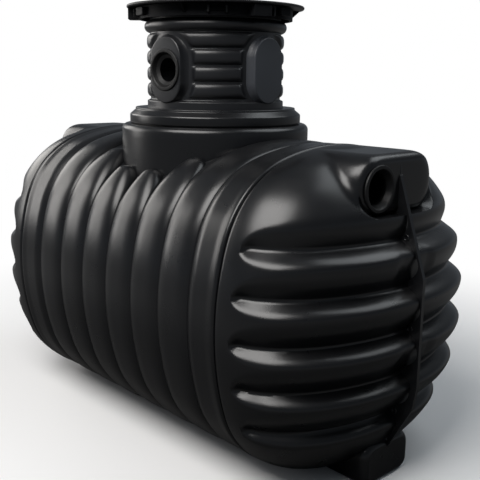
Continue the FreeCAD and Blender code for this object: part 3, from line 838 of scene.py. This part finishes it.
def cover_surface(body, riser):
    """The disc: a cap of a sphere, a rim in half an ellipse and a flat underside, carried round."""
    rest, radius = cover_rest(body, riser), riser.cover_radius
    edge = rest + riser.cover_edge
    crown = radius ** 2 / (2.0 * riser.cover_rise) + 0.5 * riser.cover_rise
    r = np.linspace(0.0, radius - RIM_ROUND, 40)
    dome = np.stack([r, edge + riser.cover_rise - crown + np.sqrt(crown ** 2 - r ** 2)], -1)
    bend = np.linspace(0.0, np.pi, 9)[1:-1]
    half = 0.5 * (dome[-1, 1] - rest)
    rim = np.stack([radius - RIM_ROUND + RIM_ROUND * np.sin(bend), rest + half + half * np.cos(bend)], -1)
    under = np.array([(radius - RIM_ROUND, rest), (0.9 * radius, rest), (0.0, rest)])
    return revolved(np.concatenate([dome, rim, under]), body.axis_height, 240, False)


def squared(wave):
    """A sine or cosine pushed towards one or minus one by a small power, so that a circle turns squarish."""
    return np.sign(wave) * np.abs(wave) ** BLOCK_SQUARE


def skirt_block(turn, half_width, reach, top, height, inner):
    """A block on the skirt: a squared oval across and up, carried outward and closed at both ends."""
    out = (inner + reach * np.array(BLOCK_OUT))[:, None]
    size = np.array(BLOCK_SIZE)[:, None]
    oval = around(32)
    across = half_width * size * squared(np.cos(oval))
    up = top - 0.5 * height - 0.5 * height * size * squared(np.sin(oval))
    x = out * math.cos(turn) - across * math.sin(turn)
    y = out * math.sin(turn) + across * math.cos(turn)
    return np.stack([x, y, up], -1), False, True


def skirt_blocks(body, riser, blocks):
    """All blocks of one kind, repeated after every lug."""
    top = body.axis_height + cover_rest(body, riser)
    return [skirt_block(LUG_TURN + math.radians(360.0 / LUGS * i + after), half_width, reach, top - below,
                        height, riser.skirt_radius)
            for i in range(LUGS) for after, half_width, reach, below, height in blocks]


# Materials

# Each finish: properties of colour and roughness, tint of rubbed edges, dust, specular level and grain
FINISHES = {
    "tank_black_plastic": ("body_colour", "body_roughness", (0.045, 0.046, 0.049), 0.10, 0.50, 0.12),
    "riser_black_plastic": ("riser_colour", "riser_roughness", (0.042, 0.043, 0.046), 0.10, 0.50, 0.12),
    "cover_black_plastic": ("cover_colour", "cover_roughness", (0.036, 0.037, 0.040), 0.10, 0.30, 0.15),
    # Painted shade: the skirt's finish is the cover's plastic with its reflection turned well down and a
    # darker rub tint, so that skirt, lugs and plates render dark under the disc's rim.
    "skirt_black_plastic": ("cover_colour", "skirt_roughness", (0.030, 0.031, 0.034), 0.04, 0.05, 0.12),
    # Painted light: the blank pads' finish is a paler copy of the riser's plastic.
    "blank_black_plastic": ("blank_colour_painted_light", "blank_roughness", (0.060, 0.062, 0.066), 0.10, 0.50, 0.08),
    "seal_black_rubber": ("seal_colour", "seal_roughness", (0.020, 0.020, 0.021), 0.06, 0.32, 0.10),
}
GLOSS_CHANGE = 0.10  # how much the roughness wanders over a surface
RUB_AMOUNT = 0.35  # how far sharp edges take the rubbed tint
DARKER, PALER = 0.8, 1.25  # shares of the base colour between which it wanders
GRAIN_HEIGHT = 0.001  # height of the grain at full strength


def new_node(tree, kind, **settings):
    """A node with the given properties set."""
    made = tree.nodes.new(kind)
    for key, value in settings.items():
        setattr(made, key, value)
    return made


def feed(tree, value, target):
    """A socket is linked to the target, and a plain value is set on it."""
    if isinstance(value, bpy.types.NodeSocket):
        tree.links.new(value, target)
    else:
        target.default_value = value


def math_node(tree, operation, first, second, clamp=False):
    """A Math node whose inputs are sockets or plain numbers; its output socket is returned."""
    made = new_node(tree, "ShaderNodeMath", operation=operation, use_clamp=clamp)
    feed(tree, first, made.inputs[0])
    feed(tree, second, made.inputs[1])
    return made.outputs[0]


def mix_node(tree, share, first, second, kind="RGBA"):
    """A Mix node whose inputs are sockets or plain values; its output socket is returned."""
    made = new_node(tree, "ShaderNodeMix", data_type=kind)
    feed(tree, share, made.inputs["Factor"])
    feed(tree, first, made.inputs["A"])
    feed(tree, second, made.inputs["B"])
    return made.outputs["Result"]


def opaque(tint, share=1.0):
    """A share of a colour, with full alpha."""
    return (*[share * channel for channel in tint], 1.0)


def noise(tree, vector, scale, detail, roughness=0.5):
    """A noise texture on the given coordinates; its value socket is returned."""
    made = new_node(tree, "ShaderNodeTexNoise")
    made.inputs["Scale"].default_value = scale
    made.inputs["Detail"].default_value = detail
    made.inputs["Roughness"].default_value = roughness
    tree.links.new(vector, made.inputs["Vector"])
    return made.outputs[0]


def effect_group(name, inputs, outputs):
    """An empty effect that reads coordinates and values, with its node of inputs and its node of outputs."""
    group = bpy.data.node_groups.new(name, "ShaderNodeTree")
    group.interface.new_socket(name="Coordinates", in_out="INPUT", socket_type="NodeSocketVector")
    for key, default in inputs.items():
        socket = group.interface.new_socket(name=key, in_out="INPUT", socket_type="NodeSocketFloat")
        socket.default_value = default
    for key in outputs:
        group.interface.new_socket(name=key, in_out="OUTPUT", socket_type="NodeSocketFloat")
    return group, group.nodes.new("NodeGroupInput"), group.nodes.new("NodeGroupOutput")


def moulded_grain_group():
    """Fine orange-peel height and slow gloss changes of a moulded plastic skin."""
    group, source, target = effect_group("moulded_grain", {"Roughness": 0.4, "Gloss change": 0.08},
                                         ["Height", "Roughness"])
    where = source.outputs["Coordinates"]
    fine = math_node(group, "MULTIPLY", noise(group, where, 420.0, 2.0), 0.5)
    broad = noise(group, where, 14.0, 4.0, 0.6)
    height = math_node(group, "ADD", fine, math_node(group, "MULTIPLY", broad, 0.5))
    off_middle = math_node(group, "SUBTRACT", broad, 0.5)
    change = math_node(group, "MULTIPLY", off_middle, source.outputs["Gloss change"])
    changed = math_node(group, "ADD", source.outputs["Roughness"], change, True)
    group.links.new(height, target.inputs["Height"])
    group.links.new(changed, target.inputs["Roughness"])
    return group


def settled_dust_group():
    """Mask of pale dust: strongest on faces that look up, broken by two sizes of noise."""
    group, source, target = effect_group("settled_dust", {"Amount": 0.1}, ["Mask"])
    where = source.outputs["Coordinates"]
    split = new_node(group, "ShaderNodeSeparateXYZ")
    group.links.new(new_node(group, "ShaderNodeNewGeometry").outputs["Normal"], split.inputs[0])
    level = math_node(group, "POWER", math_node(group, "MAXIMUM", split.outputs["Z"], 0.0), 2.0)
    spots = math_node(group, "MULTIPLY", noise(group, where, 7.0, 5.0, 0.62), noise(group, where, 55.0, 3.0))
    mask = math_node(group, "MULTIPLY", math_node(group, "MULTIPLY", level, spots), source.outputs["Amount"])
    group.links.new(math_node(group, "MINIMUM", mask, 1.0), target.inputs["Mask"])
    return group


def edge_rub_group():
    """Mask of lighter, rubbed plastic on sharp outer edges, broken by noise."""
    group, source, target = effect_group("edge_rub", {"Amount": 0.3}, ["Mask"])
    bend = new_node(group, "ShaderNodeNewGeometry").outputs["Pointiness"]
    edge = math_node(group, "MULTIPLY", math_node(group, "SUBTRACT", bend, 0.52), 9.0, True)
    broken = math_node(group, "MULTIPLY", edge, noise(group, source.outputs["Coordinates"], 38.0, 4.0, 0.65))
    mask = math_node(group, "MULTIPLY", broken, source.outputs["Amount"], True)
    group.links.new(mask, target.inputs["Mask"])
    return group


def effect_node(tree, name, where, values):
    """A shared effect placed in a material with its own values; the effect is built at its first use."""
    makers = {"moulded_grain": moulded_grain_group, "settled_dust": settled_dust_group,
              "edge_rub": edge_rub_group}
    made = new_node(tree, "ShaderNodeGroup", node_tree=bpy.data.node_groups.get(name) or makers[name]())
    tree.links.new(where, made.inputs["Coordinates"])
    for key, value in values.items():
        made.inputs[key].default_value = value
    return made


def finish(name):
    """The named plastic or rubber: grain in height and gloss, dust on level faces, rubbed edges.

    It is built the first time that it is asked for."""
    if name in bpy.data.materials:
        return bpy.data.materials[name]
    look = bpy.context.scene.tank_finish
    colour_key, roughness_key, rub, dust, level, strength = FINISHES[name]
    base = getattr(look, colour_key)
    material = bpy.data.materials.new(name)
    material.use_nodes = True
    tree = material.node_tree
    shader = tree.nodes["Principled BSDF"]
    where = new_node(tree, "ShaderNodeTexCoord").outputs["Object"]
    grain = effect_node(tree, "moulded_grain", where, {"Roughness": getattr(look, roughness_key),
                                                       "Gloss change": GLOSS_CHANGE})
    settled = effect_node(tree, "settled_dust", where, {"Amount": dust})
    rubbed = effect_node(tree, "edge_rub", where, {"Amount": RUB_AMOUNT})
    tint = mix_node(tree, noise(tree, where, 3.5, 4.0, 0.6), opaque(base, DARKER), opaque(base, PALER))
    tint = mix_node(tree, rubbed.outputs["Mask"], tint, opaque(rub))
    tint = mix_node(tree, settled.outputs["Mask"], tint, opaque(look.dust_colour))
    tree.links.new(tint, shader.inputs["Base Color"])
    tree.links.new(grain.outputs["Roughness"], shader.inputs["Roughness"])
    bump = new_node(tree, "ShaderNodeBump")
    bump.inputs["Strength"].default_value = strength
    bump.inputs["Distance"].default_value = GRAIN_HEIGHT
    tree.links.new(grain.outputs["Height"], bump.inputs["Height"])
    tree.links.new(bump.outputs["Normal"], shader.inputs["Normal"])
    shader.inputs["Specular IOR Level"].default_value = level
    return material


# Stage

FLOOR_HALF = 40.0  # half side of the floor
FLOOR_DROP = 0.0005  # how far the floor lies under the feet
FLOOR_FADE = (1.1, 3.0)  # distances from the tank between which the floor fades to the backdrop
HORIZON = (0.09, 0.22)  # rise of a ray between which the backdrop gives way to the ceiling
CEILING = 0.12  # strength of the ceiling where it is seen
FILL = 0.13  # strength of the world's own light
FILL_TINT = (0.78, 0.88, 1.0)
WHITE = (1.0, 1.0, 1.0)
AIM = (0.0, 0.0, 0.7)  # point that the lamps face
# Lamps: name, size, power, place, tint
LAMPS = (
    ("left_soft_lamp", (2.4, 1.8), 44.0, (-4.7, -0.5, 2.5), (1.0, 0.97, 0.93)),
    ("tall_soft_lamp", (1.4, 2.5), 46.0, (-3.9, -2.5, 2.12), (1.0, 0.97, 0.94)),
    ("front_soft_lamp", (3.4, 2.6), 215.0, (0.55, -2.75, 4.2), (1.0, 0.98, 0.96)),
    ("top_soft_lamp", (3.0, 3.0), 64.0, (1.5, 2.2, 4.4), (0.92, 0.97, 1.0)),
)
CAMERA_PLACE = (2.3352, -2.0421, 1.3754)
CAMERA_AHEAD = (-0.71348, 0.66747, -0.21315)
CAMERA_ROLL = math.radians(0.623)
CAMERA_LENS = 57.21
SENSOR_WIDTH = 36.0


def seen_ray(tree, gloss_share):
    """One for rays from the eye or through glass, a share for reflections, nought for falling light."""
    ray = new_node(tree, "ShaderNodeLightPath")
    gloss = math_node(tree, "MULTIPLY", ray.outputs["Is Glossy Ray"], gloss_share)
    both = math_node(tree, "MAXIMUM", gloss, ray.outputs["Is Transmission Ray"])
    return math_node(tree, "MAXIMUM", ray.outputs["Is Camera Ray"], both)


def eased(tree, value, between, low, high):
    """A Map Range node that eases from low to high between two values; its output socket is returned."""
    made = new_node(tree, "ShaderNodeMapRange", interpolation_type="SMOOTHSTEP")
    made.inputs["From Min"].default_value, made.inputs["From Max"].default_value = between
    made.inputs["To Min"].default_value, made.inputs["To Max"].default_value = low, high
    tree.links.new(value, made.inputs["Value"])
    return made.outputs["Result"]


def floor_material(look):
    """Matt floor that is pale to the eye, darker for other rays, and fades to the white backdrop."""
    material = bpy.data.materials.new("studio_floor")
    material.use_nodes = True
    tree = material.node_tree
    shader = tree.nodes["Principled BSDF"]
    ray = new_node(tree, "ShaderNodeLightPath")
    pale = mix_node(tree, ray.outputs["Is Camera Ray"], opaque(WHITE, look.floor_bounce),
                    opaque(look.floor_colour))
    tree.links.new(pale, shader.inputs["Base Color"])
    shader.inputs["Roughness"].default_value = 1.0
    shader.inputs["Specular IOR Level"].default_value = 0.0
    away = new_node(tree, "ShaderNodeVectorMath", operation="LENGTH")
    tree.links.new(new_node(tree, "ShaderNodeTexCoord").outputs["Object"], away.inputs[0])
    fade = eased(tree, away.outputs["Value"], FLOOR_FADE, 0.0, 1.0)
    seen = seen_ray(tree, look.backdrop_gloss)
    white = new_node(tree, "ShaderNodeEmission")
    mixed = new_node(tree, "ShaderNodeMixShader")
    tree.links.new(math_node(tree, "MULTIPLY", fade, seen), mixed.inputs["Fac"])
    tree.links.new(shader.outputs["BSDF"], mixed.inputs[1])
    tree.links.new(white.outputs["Emission"], mixed.inputs[2])
    tree.links.new(mixed.outputs["Shader"], tree.nodes["Material Output"].inputs["Surface"])
    return material


def studio_world(look):
    """White backdrop and dim ceiling for rays that see them, and a weak bluish light for the rest."""
    world = bpy.data.worlds.new("studio_world")
    world.use_nodes = True
    tree = world.node_tree
    background = tree.nodes["Background"]
    seen = seen_ray(tree, look.backdrop_gloss)
    split = new_node(tree, "ShaderNodeSeparateXYZ")
    tree.links.new(new_node(tree, "ShaderNodeTexCoord").outputs["Generated"], split.inputs[0])
    ceiling = eased(tree, split.outputs["Z"], HORIZON, 1.0, CEILING)
    shade = mix_node(tree, seen, FILL, ceiling, "FLOAT")
    tint = mix_node(tree, seen, opaque(FILL_TINT), opaque(WHITE))
    tree.links.new(shade, background.inputs["Strength"])
    tree.links.new(tint, background.inputs["Color"])
    return world


def lamp(name, size, power, place, tint):
    """An oblong soft lamp that faces the tank."""
    data = bpy.data.lights.new(name, "AREA")
    data.shape = "RECTANGLE"
    data.size, data.size_y = size
    data.energy, data.color = power, tint
    piece = bpy.data.objects.new(name, data)
    piece.location = place
    piece.rotation_euler = (Vector(AIM) - Vector(place)).to_track_quat("-Z", "Y").to_euler()
    bpy.context.scene.collection.objects.link(piece)


def photo_camera():
    """A camera at the photograph's viewing angle, with its slight roll."""
    data = bpy.data.cameras.new("photo_camera")
    data.lens, data.sensor_width, data.sensor_fit = CAMERA_LENS, SENSOR_WIDTH, "HORIZONTAL"
    camera = bpy.data.objects.new("photo_camera", data)
    ahead = Vector(CAMERA_AHEAD).normalized()
    level = ahead.cross(Vector((0.0, 0.0, 1.0))).normalized()
    rise = level.cross(ahead)
    right = math.cos(CAMERA_ROLL) * level + math.sin(CAMERA_ROLL) * rise
    up = -math.sin(CAMERA_ROLL) * level + math.cos(CAMERA_ROLL) * rise
    turned = Matrix((right, up, -ahead)).transposed().to_4x4()
    camera.matrix_world = Matrix.Translation(CAMERA_PLACE) @ turned
    return camera


# Operators

class TANK_OT_barrel(bpy.types.Operator):
    """Build the ribbed barrel with its end bands"""

    bl_idname = "tank.barrel"
    bl_label = "Barrel"

    def execute(self, context):
        surface = barrel_surface(context.scene.tank_body)
        piece = surface_piece("barrel_shell", [surface], sharp_angle=30.0)
        placed(piece, finish("tank_black_plastic"), RIB_NODES)
        return {"FINISHED"}


class TANK_OT_ends(bpy.types.Operator):
    """Build the two grooved ends with their inlet bosses"""

    bl_idname = "tank.ends"
    bl_label = "Domed ends"

    def execute(self, context):
        body, end = context.scene.tank_body, context.scene.tank_end
        for name, side in ENDS.items():
            piece = surface_piece(name + "_end_shell", [end_surface(body, end, side)], sharp_angle=38.0)
            nodes = ["%s_%s" % (name, node) for node in END_NODES]
            placed(piece, finish("tank_black_plastic"), nodes)
        return {"FINISHED"}


class TANK_OT_feet(bpy.types.Operator):
    """Build the foot under each end, and finish the seam fins"""

    bl_idname = "tank.feet"
    bl_label = "Feet and seam fins"

    def execute(self, context):
        body, end = context.scene.tank_body, context.scene.tank_end
        plastic = finish("tank_black_plastic")
        for name, side in ENDS.items():
            piece = surface_piece(name + "_foot_block", [foot_surface(body, end, side)])
            placed(piece, plastic, [name + "_foot"])
            dress_node(name + "_seam_fin", plastic)
            piece = surface_piece(name + "_fin_crest", [fin_crest_surface(body, end, side)])
            placed(piece, plastic, [])
            rings = [eyelet_surface(body, end, side, level, face)
                     for level in groove_levels(end)[::2] for face in (-1.0, 1.0)]
            placed(surface_piece(name + "_fin_eyelets", rings), plastic, [])
        return {"FINISHED"}


class TANK_OT_neck(bpy.types.Operator):
    """Build the neck, the gasket and the collar ring"""

    bl_idname = "tank.neck"
    bl_label = "Neck and collar"

    def execute(self, context):
        body, riser = context.scene.tank_body, context.scene.tank_riser
        piece = surface_piece("neck_shell", [neck_surface(body)])
        placed(piece, finish("tank_black_plastic"), ["neck"])
        piece = surface_piece("neck_gasket_ring", [gasket_surface(body)])
        placed(piece, finish("seal_black_rubber"), ["neck_gasket"])
        piece = surface_piece("collar_turned", [collar_surface(body, riser)])
        placed(piece, finish("tank_black_plastic"), ["collar_ring"])
        return {"FINISHED"}


class TANK_OT_riser(bpy.types.Operator):
    """Build the ribbed riser and its four pads"""

    bl_idname = "tank.riser"
    bl_label = "Riser and pads"

    def execute(self, context):
        scene = context.scene
        body, riser, end = scene.tank_body, scene.tank_riser, scene.tank_end
        piece = surface_piece("riser_shell", [riser_surface(body, riser, end)], sharp_angle=40.0)
        placed(piece, finish("riser_black_plastic"), ["riser"])
        for name, way in pad_ways(riser).items():
            hole = end.sleeve_radius if name == "front" else 0.0
            # Pads without a hole take the finish with painted light.
            plastic = finish("riser_black_plastic" if hole else "blank_black_plastic")
            piece = surface_piece("pad_plate_" + name, [pad_surface(body, riser, way, hole)])
            placed(piece, plastic, ["riser_pad_" + name])
        return {"FINISHED"}


class TANK_OT_seals(bpy.types.Operator):
    """Build the pipe seals in the ends and in the riser"""

    bl_idname = "tank.seals"
    bl_label = "Pipe seals"

    def execute(self, context):
        scene = context.scene
        body, riser, end = scene.tank_body, scene.tank_riser, scene.tank_end
        rubber = finish("seal_black_rubber")
        face = body.dome_base + end.boss_reach
        height = body.axis_height + end.boss_middle - end.socket_drop
        for name, side in ENDS.items():
            middle = (side * face, -side * end.socket_side, height)
            seal = turned_seal(end, middle, (side, 0.0, 0.0), end.bore_radius - END_LIP)
            placed(surface_piece(name + "_pipe_seal", [seal]), rubber, [name + "_inlet_seal"])
        way = pad_ways(riser)["front"]
        out = wall_radius(body, riser) + riser.pad_face_lift
        middle = (out * way[0], out * way[1], pad_height(body, riser))
        seal = turned_seal(end, middle, (*way, 0.0), end.riser_lip)
        placed(surface_piece("riser_seal_ring", [seal]), rubber, ["riser_pipe_seal"])
        return {"FINISHED"}


class TANK_OT_cover(bpy.types.Operator):
    """Build the cover's disc and the posts and plates on its skirt, and finish skirt and lugs"""

    bl_idname = "tank.cover"
    bl_label = "Cover"

    def execute(self, context):
        body, riser = context.scene.tank_body, context.scene.tank_riser
        # The skirt, lugs and plates take the finish with painted shade.
        plastic, dull_painted_shade = finish("cover_black_plastic"), finish("skirt_black_plastic")
        piece = surface_piece("cover_lid", [cover_surface(body, riser)])
        placed(piece, plastic, ["cover_disc"])
        for node in ("cover_skirt", "cover_lock_lugs"):
            dress_node(node, dull_painted_shade)
        for name, blocks, material in (("posts", SKIRT_POSTS, plastic), ("plates", SKIRT_PLATES, dull_painted_shade)):
            piece = surface_piece("cover_skirt_" + name, skirt_blocks(body, riser, blocks))
            placed(piece, material, [])
        return {"FINISHED"}


class TANK_OT_stage(bpy.types.Operator):
    """Build the pale floor, the soft lamps, the world and the camera"""

    bl_idname = "tank.stage"
    bl_label = "Stage"

    def execute(self, context):
        scene = context.scene
        ways = ((-1.0, -1.0), (1.0, -1.0), (1.0, 1.0), (-1.0, 1.0))
        corners = [(x * FLOOR_HALF, y * FLOOR_HALF, -FLOOR_DROP) for x, y in ways]
        mesh = bpy.data.meshes.new("studio_floor")
        mesh.from_pydata(corners, [], [(0, 1, 2, 3)])
        mesh.materials.append(floor_material(scene.tank_finish))
        floor = bpy.data.objects.new("studio_floor", mesh)
        scene.collection.objects.link(floor)
        scene.world = studio_world(scene.tank_finish)
        for values in LAMPS:
            lamp(*values)
        camera = photo_camera()
        scene.collection.objects.link(camera)
        scene.camera = camera
        scene.view_settings.view_transform = "Standard"
        return {"FINISHED"}


class TANK_PT_panel(bpy.types.Panel):
    """Lists the tank's pieces and their sizes"""

    bl_idname = "TANK_PT_panel"
    bl_label = "Underground water tank"
    bl_space_type = "VIEW_3D"
    bl_region_type = "UI"
    bl_category = "Tank"

    def draw(self, context):
        for operator in OPERATORS:
            self.layout.operator(operator.bl_idname)
        for group, holder in GROUPS.items():
            sizes = self.layout.column(align=True)
            for key in holder.__annotations__:
                sizes.prop(getattr(context.scene, group), key)


OPERATORS = (TANK_OT_barrel, TANK_OT_ends, TANK_OT_feet, TANK_OT_neck, TANK_OT_riser, TANK_OT_seals,
             TANK_OT_cover, TANK_OT_stage)
GROUPS = {"tank_body": TankBodySizes, "tank_end": TankEndSizes, "tank_riser": TankRiserSizes,
          "tank_finish": TankFinish}
CLASSES = (*GROUPS.values(), *OPERATORS, TANK_PT_panel)


def register():
    """Add the classes, and the groups of sizes to the scene."""
    for holder in CLASSES:
        bpy.utils.register_class(holder)
    for group, holder in GROUPS.items():
        setattr(bpy.types.Scene, group, bpy.props.PointerProperty(type=holder))


def unregister():
    """Take the groups of sizes and the classes away again."""
    for group in GROUPS:
        delattr(bpy.types.Scene, group)
    for holder in reversed(CLASSES):
        bpy.utils.unregister_class(holder)


def main():
    """Register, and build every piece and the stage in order."""
    register()
    bpy.ops.tank.barrel()
    bpy.ops.tank.ends()
    bpy.ops.tank.feet()
    bpy.ops.tank.neck()
    bpy.ops.tank.riser()
    bpy.ops.tank.seals()
    bpy.ops.tank.cover()
    bpy.ops.tank.stage()


if __name__ == "__main__":
    main()
